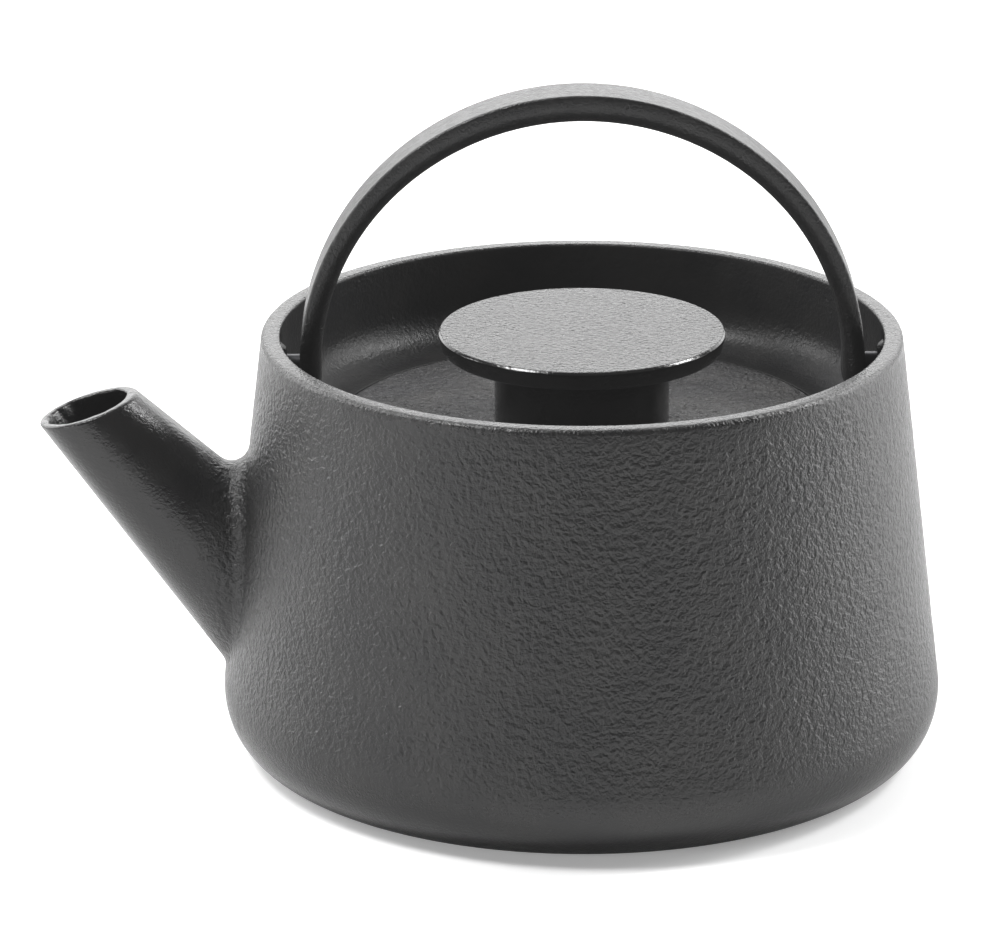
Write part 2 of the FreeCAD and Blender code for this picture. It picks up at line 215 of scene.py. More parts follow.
def corner_points(before, here, after, size):
    """Points of a round corner (one radius) or an eased one (two lengths)."""
    into, out = unit(here - before), unit(after - here)
    if len(size) == 2:
        start, end = here - into * size[0], here + out * size[1]
        first, second = start + into * size[0] * BEZIER_PULL, end - out * size[1] * BEZIER_PULL
        t = np.linspace(0, 1, BEZIER_POINTS)[:, None]
        return (start * (1 - t) ** 3 + first * 3 * t * (1 - t) ** 2
                + second * 3 * t ** 2 * (1 - t) + end * t ** 3)
    turn = math.acos(float(np.clip(into @ out, -1, 1)))
    setback = size[0] * math.tan(turn / 2)
    centre = here + unit(out - into) * size[0] / math.cos(turn / 2)
    start, end = here - into * setback - centre, here + out * setback - centre
    steps = max(2, math.ceil(turn / ARC_STEP))
    t = np.linspace(0, 1, steps + 1)[:, None] * turn
    side = unit(end - start * math.cos(turn)) * size[0]
    return centre + start * np.cos(t) + side * np.sin(t)


def section(corners, closed=False):
    """A polyline through (r, z), (r, z, radius) and (r, z, length before, length after) corners."""
    points = [np.array(corner[:2], float) for corner in corners]
    path = []
    for index, corner in enumerate(corners):
        if len(corner) == 2:
            path.append(points[index][None])
        else:
            after = points[(index + 1) % len(points)]
            path.append(corner_points(points[index - 1], points[index], after, corner[2:]))
    path = np.concatenate(path)
    return np.concatenate([path, path[:1]]) if closed else path


def subdivided(path, step):
    """The polyline with its long stretches cut to at most step(r, z)."""
    rows = [path[0]]
    for a, b in zip(path[:-1], path[1:]):
        length = np.linalg.norm(b - a)
        if length < 1e-6:
            continue
        count = max(1, math.ceil(length / step(*((a + b) / 2))))
        for k in range(1, count + 1):
            rows.append(a + (b - a) * k / count)
    return np.array(rows)


def arc_lengths(path):
    return np.concatenate([[0], np.cumsum(np.linalg.norm(np.diff(path, axis=0), axis=1))])


def nearest_on_section(path, r, z):
    """Signed distance (positive outside), nearest point and arc length there, for many points."""
    a, ab = path[:-1], np.diff(path, axis=0)
    keep = np.linalg.norm(ab, axis=1) > 1e-9
    lengths = arc_lengths(path)[:-1][keep]
    a, ab = a[keep], ab[keep]
    p = np.stack([r, z], -1)[:, None, :] - a[None]
    t = np.clip((p * ab).sum(-1) / (ab * ab).sum(-1), 0, 1)
    gap = p - t[..., None] * ab
    distance = np.linalg.norm(gap, axis=-1)
    best = distance.argmin(1)
    pick = np.arange(len(best))
    side = ab[best, 0] * p[pick, best, 1] - ab[best, 1] * p[pick, best, 0]
    nearest = a[best] + t[pick, best, None] * ab[best]
    along = lengths[best] + t[pick, best] * np.linalg.norm(ab[best], axis=1)
    return -np.sign(side) * distance[pick, best], nearest, along


# ---- Meshes ----


class Builder:
    """Collects rings of points in millimetres and the faces between them."""

    def __init__(self):
        self.points = []
        self.faces = []

    def ring(self, points):
        start = len(self.points)
        self.points.extend(map(tuple, points))
        return list(range(start, len(self.points)))

    def join(self, a, b, skip=()):
        """Faces between two closed rings of equal count, or of which one has twice the other's points."""
        if len(a) == len(b):
            for k in range(len(a)):
                if k not in skip:
                    n = (k + 1) % len(a)
                    self.faces.append((a[k], a[n], b[n], b[k]))
            return
        fine, coarse = (a, b) if len(a) > len(b) else (b, a)
        for k in range(len(coarse)):
            n = (k + 1) % len(coarse)
            f0, f1, f2 = fine[2 * k], fine[2 * k + 1], fine[(2 * k + 2) % len(fine)]
            self.faces.append((f0, f1, coarse[k]))
            self.faces.append((f1, coarse[n], coarse[k]))
            self.faces.append((f1, f2, coarse[n]))

    def zip_loops(self, a, angles_a, b, angles_b):
        """Triangles between two closed loops of different counts, matched by angle."""
        i = j = 0
        while i < len(a) or j < len(b):
            next_a = angles_a[i + 1] if i < len(a) else math.inf
            next_b = angles_b[j + 1] if j < len(b) else math.inf
            if next_a <= next_b:
                self.faces.append((a[i % len(a)], a[(i + 1) % len(a)], b[j % len(b)]))
                i += 1
            else:
                self.faces.append((a[i % len(a)], b[(j + 1) % len(b)], b[j % len(b)]))
                j += 1

    def mesh(self, name, sharp_degrees=40):
        """A welded mesh object in metres with outward normals and smooth shading between sharp edges."""
        mesh = bpy.data.meshes.new(name)
        mesh.from_pydata([tuple(c * MM for c in p) for p in self.points], [], self.faces)
        work = bmesh.new()
        work.from_mesh(mesh)
        bmesh.ops.remove_doubles(work, verts=work.verts, dist=1e-6)
        bmesh.ops.dissolve_degenerate(work, edges=work.edges, dist=1e-7)
        bmesh.ops.recalc_face_normals(work, faces=work.faces)
        work.to_mesh(mesh)
        work.free()
        mesh.polygons.foreach_set("use_smooth", [True] * len(mesh.polygons))
        mesh.set_sharp_from_angle(angle=math.radians(sharp_degrees))
        piece = bpy.data.objects.new(name, mesh)
        bpy.context.scene.collection.objects.link(piece)
        return piece


def ring_points(r, z, count):
    angle = np.arange(count) * 2 * math.pi / count
    return np.stack([r * np.cos(angle), r * np.sin(angle), np.full(count, z)], -1)


def column_count(r, widest, most):
    """Fewer columns towards the axis, so that faces keep their shape."""
    count = most
    while count > FEWEST_COLUMNS and r < widest * COLUMN_THINNING * count / most:
        count //= 2
    return count


def join_rings(builder, rings, window_at=lambda i: ()):
    """Faces between neighbouring rings, as a fan where a ring is one point; window_at(i) gives the gaps."""
    for i, (a, b) in enumerate(zip(rings[:-1], rings[1:])):
        if 1 in (len(a), len(b)):
            pole, rim = (a, b) if len(a) == 1 else (b, a)
            builder.faces.extend((rim[k], rim[(k + 1) % len(rim)], pole[0]) for k in range(len(rim)))
        else:
            builder.join(a, b, window_at(i))


def spun(name, rows, most, closed=False):
    """A piece turned about the vertical axis from its section's rows."""
    builder = Builder()
    widest = rows[:, 0].max()
    rings = []
    for r, z in rows[:-1] if closed else rows:
        if r < ON_AXIS:
            rings.append(builder.ring([(0, 0, z)]))
        else:
            rings.append(builder.ring(ring_points(r, z, column_count(r, widest, most))))
    if closed:
        rings.append(rings[0])
    join_rings(builder, rings)
    return builder.mesh(name)


# ---- Cast skin: the relief of sand-cast iron as real geometry ----

# Without a seed, the swirl would start from another place in each run.
noise.seed_set(CAST_SEED)


def smooth_step(low, high, value):
    t = min(1.0, max(0.0, (value - low) / (high - low)))
    return t * t * (3 - 2 * t)


def cast_relief(point, wavelength):
    """Gentle hammered-looking relief from -1 to 1 at a point in millimetres."""
    p = Vector(point) / wavelength
    swirl = noise.noise_vector(p * 0.6) * 0.5
    return 0.65 * noise.noise(p + swirl) + 0.35 * noise.noise(p * 1.9 + swirl)


def add_cast_skin(piece, depth_at, wavelength):
    """Moves each vertex along its normal by the relief, as deep as depth_at(x, y, z) says in millimetres."""
    mesh = piece.data
    count = len(mesh.vertices)
    places, normals = np.empty(count * 3), np.empty(count * 3)
    mesh.vertices.foreach_get("co", places)
    mesh.vertex_normals.foreach_get("vector", normals)
    places, normals = places.reshape(-1, 3), normals.reshape(-1, 3)
    for k, point in enumerate((places / MM).tolist()):
        depth = depth_at(*point)
        if depth > 0:
            places[k] += normals[k] * (depth * MM * cast_relief(point, wavelength))
    mesh.vertices.foreach_set("co", places.ravel())
    mesh.update()


# ---- Pot ----


def pot_outer_corners():
    foot = side_radius(0)
    slope = BASE_CORNER_HEIGHT / math.cos(SIDE_LEAN)
    lip_inner = RIM_RADIUS - LIP_WIDTH
    return [
        (0, 0),
        (foot, 0, foot - BASE_RADIUS, slope),
        (RIM_RADIUS, RIM_HEIGHT, LIP_OUTER_ROUND),
        (lip_inner, RIM_HEIGHT, LIP_INNER_ROUND),
        (RECESS_FOOT_RADIUS, LEDGE_HEIGHT, RECESS_ROUND),
        (LID_SEAT_RADIUS, LEDGE_HEIGHT, SEAT_EDGE_ROUND),
        (LID_SEAT_RADIUS, LID_SEAT_HEIGHT),
        (COLLAR_SEAT_RADIUS, LID_SEAT_HEIGHT),
        (COLLAR_SEAT_RADIUS, COLLAR_SEAT_HEIGHT),
        (NECK_RADIUS, COLLAR_SEAT_HEIGHT),
    ]


def pot_inner_corners():
    return [
        (NECK_RADIUS, COLLAR_SEAT_HEIGHT),
        (NECK_RADIUS, SHELF_UNDERSIDE, SEAT_EDGE_ROUND),
        (side_radius(SHELF_UNDERSIDE) - WALL, SHELF_UNDERSIDE, SHELF_ROUND),
        (side_radius(FLOOR) - WALL, FLOOR, FLOOR_CORNER_ROUND),
        (0, FLOOR),
    ]


class Spout:
    """Points of the spout's cone: s runs from the mouth's centre towards the pot, phi round the axis."""

    outward = np.array([-math.cos(SPOUT_RISE), 0, math.sin(SPOUT_RISE)])
    up = np.array([math.sin(SPOUT_RISE), 0, math.cos(SPOUT_RISE)])
    across = np.array([0, 1.0, 0])
    mouth = np.array([-SPOUT_MOUTH_REACH, 0, SPOUT_MOUTH_HEIGHT])

    def __init__(self, mouth_radius, taper):
        self.mouth_radius = mouth_radius
        self.taper = taper

    def away(self, phi):
        return np.cos(phi)[:, None] * self.up + np.sin(phi)[:, None] * self.across

    def point(self, phi, s):
        radius = self.mouth_radius + s * math.tan(self.taper)
        return self.mouth - s[:, None] * self.outward + radius[:, None] * self.away(phi)

    def normal(self, phi):
        return math.cos(self.taper) * self.away(phi) + math.sin(self.taper) * self.outward

    def angle_of(self, points):
        offset = points - self.mouth
        return np.unwrap(np.arctan2(offset @ self.across, offset @ self.up))

    def mouth_depth(self, phi):
        """Where each line along the cone meets the slanted mouth."""
        slant = np.array([-math.sin(SPOUT_MOUTH_TILT), 0, math.cos(SPOUT_MOUTH_TILT)])
        rise = self.away(phi) @ slant
        return self.mouth_radius * rise / (self.outward @ slant - math.tan(self.taper) * rise)


def solved_depth(gap_at, count):
    """Bisects gap_at(s) = 0 for many lines along the spout at once; the gap shrinks towards the pot."""
    near, far = np.full(count, SPOUT_NEAREST), np.full(count, SPOUT_FARTHEST)
    for _ in range(BISECTIONS):
        middle = (near + far) / 2
        outside = gap_at(middle) > 0
        near, far = np.where(outside, middle, near), np.where(outside, far, middle)
    return (near + far) / 2


def window_loop(rings, bottom, top, low, high):
    """Vertex numbers round a rectangular window in the pot's rings, from its bottom edge up."""
    up = 1 if top > bottom else -1
    loop = [rings[bottom][j] for j in range(low, high)]
    loop += [rings[i][high] for i in range(bottom, top, up)]
    loop += [rings[top][j] for j in range(high, low, -1)]
    loop += [rings[i][low] for i in range(top, bottom, -up)]
    return loop


def eased_bend(before, corner, after):
    """Points that round off a corner, from before to after, for many corners at once."""
    t = np.linspace(0, 1, LIP_RINGS + 1)[1:-1]
    return [before * (1 - k) ** 2 + corner * 2 * k * (1 - k) + after * k * k for k in t]


def nearest_in_space(path, points):
    """nearest_on_section for points in space, at whatever angle round the pot."""
    return nearest_on_section(path, np.hypot(points[:, 0], points[:, 1]), points[:, 2])


def angle_round_pot(points):
    return np.arctan2(points[:, 1], points[:, 0]) % (2 * math.pi)


def turned(r, z, angle):
    return np.stack([r * np.cos(angle), r * np.sin(angle), z], -1)


def root_rings(cone, phi, edge, outer_path):
    """Rings from the window's edge over the root fillet to the cone, and their depth along the cone."""
    def ball_centre(s):
        return cone.point(phi, s) + SPOUT_ROOT_FILLET * cone.normal(phi)

    def ball_gap(s):
        return nearest_in_space(outer_path, ball_centre(s))[0] - SPOUT_ROOT_FILLET

    root = solved_depth(ball_gap, len(phi))
    centre = ball_centre(root)
    azimuth = angle_round_pot(centre)
    _, touch, along = nearest_in_space(outer_path, centre)
    edge_azimuth = angle_round_pot(edge)
    edge_along = nearest_in_space(outer_path, edge)[2]
    lengths = arc_lengths(outer_path)
    rings = []
    for k in range(1, WINDOW_RINGS):
        t = k / WINDOW_RINGS
        where = edge_along * (1 - t) + along * t
        r, z = np.interp(where, lengths, outer_path[:, 0]), np.interp(where, lengths, outer_path[:, 1])
        rings.append(turned(r, z, edge_azimuth * (1 - t) + azimuth * t))

    start = turned(touch[:, 0], touch[:, 1], azimuth) - centre
    end = cone.point(phi, root) - centre
    turn = np.arccos(np.clip((start * end).sum(-1) / SPOUT_ROOT_FILLET ** 2, -1, 1))[:, None]
    for k in range(FILLET_RINGS + 1):
        t = k / FILLET_RINGS
        rings.append(centre + (start * np.sin((1 - t) * turn) + end * np.sin(t * turn)) / np.sin(turn))
    return rings, root


def lip_nicks(away):
    """Small uneven offsets of the mouth's inner edge."""
    sizes = [noise.noise(Vector(v) * 2.2) + 0.5 * noise.noise(Vector(v) * 6.0) for v in away]
    return np.array(sizes)[:, None] * away * SPOUT_LIP_NICKS


def mouth_rings(cone, bore, phi, root, nicks):
    """Rings from the root fillet up the cone and over the lip, to where the bore starts."""
    lip_depth = cone.mouth_depth(phi)
    lip_start = lip_depth + SPOUT_LIP_ROUND
    steps = math.ceil((root.max() - lip_start.min()) / FINE_STEP)
    rings = [cone.point(phi, root + (lip_start - root) * k / steps) for k in range(1, steps + 1)]
    outer_lip = cone.point(phi, lip_depth)
    bore_depth = bore.mouth_depth(phi)
    inner_lip = bore.point(phi, bore_depth) + nicks
    over = inner_lip - outer_lip
    over /= np.linalg.norm(over, axis=1)[:, None]
    rings += eased_bend(rings[-1], outer_lip, outer_lip + over * SPOUT_LIP_ROUND)
    rings += [outer_lip + over * SPOUT_LIP_ROUND, inner_lip - over * SPOUT_LIP_ROUND]
    bore_start = bore_depth + SPOUT_LIP_ROUND
    rings += eased_bend(rings[-1], inner_lip, bore.point(phi, bore_start) + nicks)
    return rings, bore_start


def bore_rings(bore, phi, bore_start, nicks, inner_path):
    """Rings down the bore to the tea space's wall, with the mouth's nicks dying out on the way."""
    def wall_gap(s):
        return -nearest_in_space(inner_path, bore.point(phi, s))[0]

    bore_end = solved_depth(wall_gap, len(phi))
    rings = []
    for k in range(BORE_RINGS + 1):
        t = k / BORE_RINGS
        rings.append(bore.point(phi, bore_start + (bore_end - bore_start) * t) + nicks * max(0.0, 1 - 4 * t))
    return rings


def spout_rings(builder, outer_path, inner_path, boundary):
    """Adds the spout from its window's edge, out and back in; gives the bore's last ring and its angles."""
    cone = Spout(SPOUT_MOUTH_RADIUS, SPOUT_TAPER)
    bore = Spout(SPOUT_MOUTH_RADIUS - SPOUT_MOUTH_WALL, SPOUT_BORE_TAPER)
    edge = np.array([builder.points[k] for k in boundary])
    phi = cone.angle_of(edge)
    nicks = lip_nicks(bore.away(phi))
    outside, root = root_rings(cone, phi, edge, outer_path)
    mouth, bore_start = mouth_rings(cone, bore, phi, root, nicks)
    previous = boundary
    for points in outside + mouth + bore_rings(bore, phi, bore_start, nicks, inner_path):
        current = builder.ring(points)
        builder.join(previous, current)
        previous = current
    return previous, phi


def pot_rings(builder, outer_rows, inner_rows):
    """Rings up the outside, over the rim, down to the neck and round the tea space to its middle."""
    rings = []
    for r, z in outer_rows:
        count = column_count(r, RIM_RADIUS, COLUMNS) if z < ON_FLOOR else COLUMNS
        rings.append(builder.ring([(0, 0, z)] if r < ON_AXIS else ring_points(r, z, count)))
    count = COLUMNS
    for r, z in inner_rows:
        if r > INNER_THINNING_RADIUS and count > INNER_COLUMNS:
            count //= 2
        limit = column_count(r, RIM_RADIUS, INNER_COLUMNS) if z < FLOOR + ON_FLOOR else count
        count = min(count, limit)
        rings.append(builder.ring([(0, 0, z)] if r < ON_AXIS else ring_points(r, z, count)))
    return rings


def make_pot():
    outer_path = section(pot_outer_corners())
    inner_path = section(pot_inner_corners())

    def outer_step(r, z):
        return COARSE_STEP if z < ON_FLOOR or r < COLLAR_SEAT_RADIUS else FINE_STEP

    outer_rows = subdivided(outer_path, outer_step)
    inner_rows = subdivided(inner_path, lambda r, z: COARSE_STEP)[1:]
    builder = Builder()
    rings = pot_rings(builder, outer_rows, inner_rows)

    first_inner = len(outer_rows)
    side_rows = range(int(outer_rows[:, 1].argmax()))
    first = max(i for i in side_rows if outer_rows[i][1] < WINDOW_BOTTOM)
    last = min(i for i in side_rows if outer_rows[i][1] > WINDOW_TOP)
    low, high = COLUMNS // 2 - WINDOW_COLUMNS, COLUMNS // 2 + WINDOW_COLUMNS
    tea_wall = side_radius(SHELF_UNDERSIDE) - WALL - TEA_WALL_DEPTH
    wall_rows = [first_inner + i for i, (r, z) in enumerate(inner_rows)
                 if r > tea_wall and len(rings[first_inner + i]) == INNER_COLUMNS]
    inner_low = INNER_COLUMNS // 2 - INNER_WINDOW_COLUMNS
    inner_high = INNER_COLUMNS // 2 + INNER_WINDOW_COLUMNS
    inner_top = min(i for i in wall_rows if inner_rows[i - first_inner][1] < INNER_WINDOW_TOP)
    inner_bottom = max(i for i in wall_rows if inner_rows[i - first_inner][1] > INNER_WINDOW_BOTTOM)

    def window_at(i):
        if first <= i < last:
            return range(low, high)
        if inner_top <= i < inner_bottom:
            return range(inner_low, inner_high)
        return ()

    join_rings(builder, rings, window_at)
    outer_loop = window_loop(rings, first, last, low, high)
    inner_loop = window_loop(rings, inner_bottom, inner_top, inner_low, inner_high)
    bore_end, phi = spout_rings(builder, outer_path, inner_path, outer_loop)
    join_bore(builder, bore_end, phi, inner_loop)
    pot = builder.mesh("pot_shell", sharp_degrees=35)
    add_cast_skin(pot, pot_relief_depth, SIDE_WAVELENGTH)
    return pot


def join_bore(builder, bore_end, phi, loop):
    """Closes the gap between the bore's last ring and its window with triangles."""
    cone = Spout(SPOUT_MOUTH_RADIUS, SPOUT_TAPER)
    loop_points = np.array([builder.points[k] for k in loop])
    loop_phi = cone.angle_of(loop_points)
    direction = 1 if phi[-1] > phi[0] else -1
    phi, loop_phi = phi * direction, loop_phi * direction
    base = phi[0]
    turns = np.mod(loop_phi - base, 2 * math.pi)
    start = int(turns.argmin())
    loop = loop[start:] + loop[:start]
    turns = np.concatenate([turns[start:], turns[:start]])
    angles_a = list(phi - base) + [2 * math.pi]
    angles_b = list(turns) + [2 * math.pi + turns[0]]
    builder.zip_loops(bore_end, angles_a, loop, angles_b)


def pot_relief_depth(x, y, z):
    """Deepest on the side, fading towards foot and rim; slight on spout and recess, none further in."""
    if x < SPOUT_RELIEF_STARTS:
        return SPOUT_RELIEF
    if math.hypot(x, y) < side_radius(z) - SIDE_SKIN_THICKNESS:
        return SMOOTH_RELIEF if z > RECESS_SKIN_HEIGHT else 0.0
    side = smooth_step(*FOOT_RELIEF_FADE, z) * (1 - smooth_step(*RIM_RELIEF_FADE, z))
    return SMOOTH_RELIEF + SIDE_RELIEF * side


def make_pivot_pad(name, side):
    """The low round boss on the recess wall that a handle pin turns in, let into the wall."""
    rows = section([(0, 0), (PAD_RADIUS, 0, PAD_ROUND), (PAD_FOOT_RADIUS, PAD_DEPTH),
                    (PAD_FOOT_RADIUS, 2 * PAD_DEPTH), (0, 2 * PAD_DEPTH)])
    pad = spun(name, subdivided(rows, lambda r, z: PAD_STEP), PAD_COLUMNS)
    for vertex in pad.data.vertices:
        x, y, z = vertex.co
        vertex.co = (side * (PAD_FACE * MM + z), y, PIVOT_HEIGHT * MM - side * x)
    return pad


# ---- Handle ----


def strap_half_section(thickness):
    """(inset from the inner face, y) points of the strap's +y half, from the inner face outwards."""
    half = HANDLE_WIDTH / 2
    corners = [(0, 0), (0, half, HANDLE_INNER_ROUND), (thickness, half, HANDLE_OUTER_ROUND), (thickness, 0)]
    points = [np.array(c[:2], float) for c in corners]
    path = [points[0][None]]
    for index in (1, 2):
        path.append(corner_points(points[index - 1], points[index], points[index + 1], corners[index][2:]))
    path.append(points[3][None])
    return subdivided(np.concatenate(path), lambda inset, y: STRAP_STEP)


def make_handle():
    """One bent strap, thickest at its crown, with each end rounded about its pin."""
    inner_reach = HANDLE_RADIUS - HANDLE_END_THICKNESS
    inner_rise = HANDLE_RADIUS - HANDLE_CROWN_THICKNESS
    template = strap_half_section(HANDLE_END_THICKNESS)
    inset = template[:, 0] / HANDLE_END_THICKNESS
    width = template[:, 1] * (1 - HANDLE_SIDE_BULGE * (2 * inset - 1) ** 2 * 2 / HANDLE_WIDTH)
    builder = Builder()
    previous = None
    for k in range(STRAP_STATIONS + 1):
        t = math.pi * k / STRAP_STATIONS
        inner = np.array([inner_reach * math.cos(t), 0, PIVOT_HEIGHT + inner_rise * math.sin(t)])
        outer = np.array([HANDLE_RADIUS * math.cos(t), 0, PIVOT_HEIGHT + HANDLE_RADIUS * math.sin(t)])
        half = inner + (outer - inner) * inset[:, None]
        half[:, 1] = width
        other = half[-2:0:-1] * [1, -1, 1]
        current = builder.ring(np.concatenate([half, other]))
        if previous:
            builder.join(previous, current)
        previous = current
    for side in (-1, 1):
        previous = None
        for k in range(STRAP_END_TURNS + 1):
            angle = math.pi * k / STRAP_END_TURNS
            x = side * (inner_reach + HANDLE_END_THICKNESS * inset)
            points = np.stack([x, width * math.cos(angle), PIVOT_HEIGHT - width * math.sin(angle)], -1)
            current = builder.ring(points)
            if previous:
                for a in range(len(current) - 1):
                    builder.faces.append((previous[a], previous[a + 1], current[a + 1], current[a]))
            previous = current
    strap = builder.mesh("handle_strap", sharp_degrees=50)
    add_cast_skin(strap, lambda x, y, z: STRAP_RELIEF, STRAP_WAVELENGTH)
    return strap


# ---- Lid and knob ----


def make_lid():
    underside = LEDGE_HEIGHT - LID_THICKNESS
    skirt_foot = LID_LOW[2]
    corners = [
        (SCREW_CLEARANCE_RADIUS, LEDGE_HEIGHT),
        (LID_RADIUS, LEDGE_HEIGHT, LID_EDGE_ROUND),
        (LID_RADIUS, underside, LID_EDGE_ROUND),
        (LID_SKIRT_RADIUS, underside),
        (LID_SKIRT_RADIUS, skirt_foot, LID_SKIRT_ROUND),
        (LID_SKIRT_RADIUS - LID_SKIRT_WIDTH, skirt_foot, LID_SKIRT_ROUND),
        (LID_SKIRT_RADIUS - LID_SKIRT_WIDTH, underside, LID_SKIRT_WIDTH / 2),
        (SCREW_CLEARANCE_RADIUS, underside),
    ]

    def step(r, z):
        return TOP_FACE_STEP if z > LEDGE_HEIGHT - 0.1 and r > STEM_RADIUS else HIDDEN_STEP

    lid = spun("lid_disc", subdivided(section(corners, closed=True), step), DISC_COLUMNS, closed=True)
    add_cast_skin(lid, lambda x, y, z: LID_RELIEF if z > LEDGE_HEIGHT - 0.3 else 0.0, LID_WAVELENGTH)
    drill_low, drill_high = underside - DRILL_MARGIN, LEDGE_HEIGHT + DRILL_MARGIN
    drill_section = [(0, drill_low), (VENT_RADIUS, drill_low), (VENT_RADIUS, drill_high), (0, drill_high)]
    drill = spun("vent_drill", section(drill_section), VENT_COLUMNS)
    for vertex in drill.data.vertices:
        vertex.co.y += VENT_OFFSET * MM
    cut = lid.modifiers.new("vent", "BOOLEAN")
    cut.operation, cut.solver, cut.object = "DIFFERENCE", "EXACT", drill
    applied = bpy.data.meshes.new_from_object(lid.evaluated_get(bpy.context.evaluated_depsgraph_get()))
    lid.modifiers.clear()
    lid.data = applied
    bpy.data.objects.remove(drill)
    return lid


def make_knob():
    disc_underside = KNOB_TOP - KNOB_THICKNESS
    core_radius = STEM_RADIUS - STEM_WALL
    corners = [
        (0, KNOB_TOP),
        (KNOB_RADIUS - KNOB_BEVEL, KNOB_TOP, KNOB_BEVEL_ROUND),
        (KNOB_RADIUS, KNOB_TOP - KNOB_BEVEL, KNOB_BEVEL_ROUND),
        (KNOB_UNDER_RADIUS, disc_underside, KNOB_EDGE_ROUND),
        (STEM_RADIUS, disc_underside, STEM_ROUND),
        (STEM_RADIUS, LEDGE_HEIGHT, SEAT_EDGE_ROUND),
        (core_radius, LEDGE_HEIGHT),
        (core_radius, STEM_CORE_TOP, STEM_ROUND),
        (SCREW_BOSS_RADIUS, STEM_CORE_TOP, STEM_ROUND),
        (SCREW_BOSS_RADIUS, LEDGE_HEIGHT),
        (SCREW_HOLE_RADIUS, LEDGE_HEIGHT),
        (SCREW_HOLE_RADIUS, SCREW_HOLE_TOP),
        (0, SCREW_HOLE_TOP + SCREW_HOLE_RADIUS / math.sqrt(3)),
    ]

    def step(r, z):
        return TOP_FACE_STEP if z > disc_underside - 0.1 or r > STEM_RADIUS - 0.1 else HIDDEN_STEP

    def relief(x, y, z):
        return KNOB_RELIEF if math.hypot(x, y) > STEM_RADIUS - 1 or z > KNOB_TOP - 1 else 0.0

    knob = spun("knob", subdivided(section(corners), step), DISC_COLUMNS)
    add_cast_skin(knob, relief, KNOB_WAVELENGTH)
    return knob


# ---- Materials ----


def smooth_ramp(tree, value, low, high, out_low, out_high):
    """A smooth step from one output to another as the value goes from low to high."""
    node = tree.nodes.new("ShaderNodeMapRange")
    node.interpolation_type = "SMOOTHSTEP"
    tree.links.new(value, node.inputs["Value"])
    limits = {"From Min": low, "From Max": high, "To Min": out_low, "To Max": out_high}
    for name, number in limits.items():
        node.inputs[name].default_value = number
    return node.outputs["Result"]


class Nodes:
    """A short way to build a material's node tree."""

    def __init__(self, name):
        self.material = bpy.data.materials.new(name)
        self.material.use_nodes = True
        self.tree = self.material.node_tree
        self.shader = self.tree.nodes["Principled BSDF"]
        place = self.tree.nodes.new("ShaderNodeTexCoord")
        scale = self.tree.nodes.new("ShaderNodeVectorMath")
        scale.operation = "SCALE"
        scale.inputs["Scale"].default_value = 1 / MM
        self.link(place.outputs["Object"], scale.inputs[0])
        self.place = scale.outputs[0]

    def link(self, a, b):
        self.tree.links.new(a, b)

    def noise(self, wavelength, detail=2.0, roughness=0.5, distortion=0.0):
        node = self.tree.nodes.new("ShaderNodeTexNoise")
        self.link(self.place, node.inputs["Vector"])
        node.inputs["Scale"].default_value = 1 / wavelength
        node.inputs["Detail"].default_value = detail
        node.inputs["Roughness"].default_value = roughness
        node.inputs["Distortion"].default_value = distortion
        return node.outputs["Fac"]

    def cells(self, wavelength):
        node = self.tree.nodes.new("ShaderNodeTexVoronoi")
        self.link(self.place, node.inputs["Vector"])
        node.inputs["Scale"].default_value = 1 / wavelength
        return node.outputs["Distance"]

    def math(self, operation, a, b):
        node = self.tree.nodes.new("ShaderNodeMath")
        node.operation = operation
        for socket, value in zip(node.inputs, (a, b)):
            if isinstance(value, (int, float)):
                socket.default_value = value
            else:
                self.link(value, socket)
        return node.outputs[0]

    def faded(self, height, middle, amount):
        """The height's swing about its middle, scaled by the amount."""
        return self.math("MULTIPLY", self.math("SUBTRACT", height, middle), amount)

    def ramp(self, value, low, high, out_low=0.0, out_high=1.0):
        return smooth_ramp(self.tree, value, low, high, out_low, out_high)

    def blend_colours(self, factor, first, second):
        node = self.tree.nodes.new("ShaderNodeMix")
        node.data_type = "RGBA"
        self.link(factor, node.inputs["Factor"])
        for socket, value in ((node.inputs[6], first), (node.inputs[7], second)):
            if isinstance(value, tuple):
                socket.default_value = (*value, 1)
            else:
                self.link(value, socket)
        return node.outputs[2]

    def bump(self, height, distance, below=None):
        """A bump of the given depth in millimetres, on top of the one below."""
        node = self.tree.nodes.new("ShaderNodeBump")
        node.inputs["Distance"].default_value = distance * MM
        node.inputs["Strength"].default_value = 1.0
        self.link(height, node.inputs["Height"])
        if below is not None:
            self.link(below, node.inputs["Normal"])
        return node.outputs["Normal"]

    def part(self, axis):
        node = self.tree.nodes.new("ShaderNodeSeparateXYZ")
        self.link(self.place, node.inputs[0])
        return node.outputs[axis]

    def height(self):
        return self.part("Z")

    def along_x(self):
        return self.part("X")

    def from_axis(self):
        flat = self.tree.nodes.new("ShaderNodeVectorMath")
        flat.operation = "MULTIPLY"
        self.link(self.place, flat.inputs[0])
        flat.inputs[1].default_value = (1, 1, 0)
        length = self.tree.nodes.new("ShaderNodeVectorMath")
        length.operation = "LENGTH"
        self.link(flat.outputs[0], length.inputs[0])
        return length.outputs["Value"]

    def edges(self):
        node = self.tree.nodes.new("ShaderNodeNewGeometry")
        return node.outputs["Pointiness"]

    def set(self, socket, value):
        if isinstance(value, (int, float, tuple)):
            self.shader.inputs[socket].default_value = value
        else:
            self.link(value, self.shader.inputs[socket])


